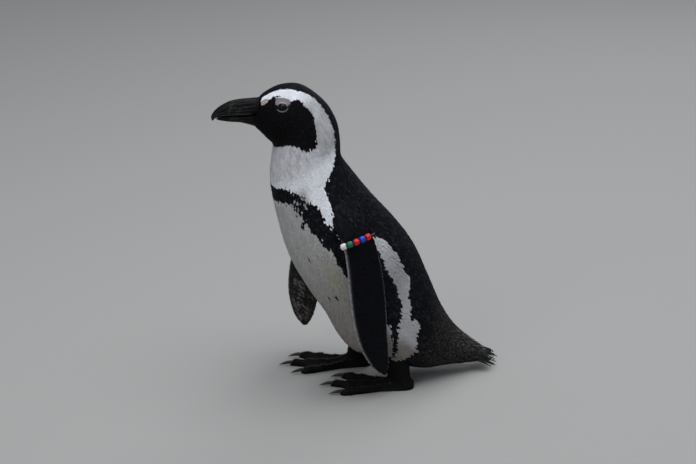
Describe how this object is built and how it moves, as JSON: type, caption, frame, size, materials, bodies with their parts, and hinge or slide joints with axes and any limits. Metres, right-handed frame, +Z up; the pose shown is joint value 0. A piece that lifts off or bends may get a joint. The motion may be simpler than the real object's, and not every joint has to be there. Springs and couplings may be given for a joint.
{
  "type": "african penguin model",
  "caption": "Life-size still model of an african penguin standing on webbed feet, black back, white belly with a black breast band, head turned a little, bead band on one flipper.",
  "frame": {"origin": "middle of the bounding box's underside, at the level of the soles", "axes": "+Z up, the bird faces -Y, its left side is +X"},
  "size_m": [0.189, 0.3408, 0.3656],
  "materials": {
    "feathers": "soft, dense feather coat, black above and white below",
    "tail_feathers": "stiff dark feathers",
    "flipper_feathers": "short scale-like black feathers with a pale rim",
    "foot_skin": "black webbed skin",
    "horn": "ridged black horn with a grey bar",
    "claw": "black horn",
    "eye": "wet dark brown",
    "strap": "satin",
    "bead_white": "glossy",
    "bead_green": "glossy",
    "bead_red": "glossy",
    "bead_blue": "glossy"
  },
  "bodies": {
    "root": {"band_strap": "strap", "bead_1_white": "bead_white", "bead_2_green": "bead_green", "bead_3_red": "bead_red", "bead_4_blue": "bead_blue", "bead_5_red": "bead_red", "head": "feathers", "left_eye": "eye", "left_flipper": "flipper_feathers", "left_foot": "foot_skin", "left_inner_claw": "claw", "left_leg": "feathers", "left_middle_claw": "claw", "left_outer_claw": "claw", "lower_bill": "horn", "neck": "feathers", "right_eye": "eye", "right_flipper": "flipper_feathers", "right_foot": "foot_skin", "right_inner_claw": "claw", "right_leg": "feathers", "right_middle_claw": "claw", "right_outer_claw": "claw", "rump": "feathers", "tail": "tail_feathers", "trunk": "feathers", "upper_bill": "horn"}
  },
  "joints": []
}
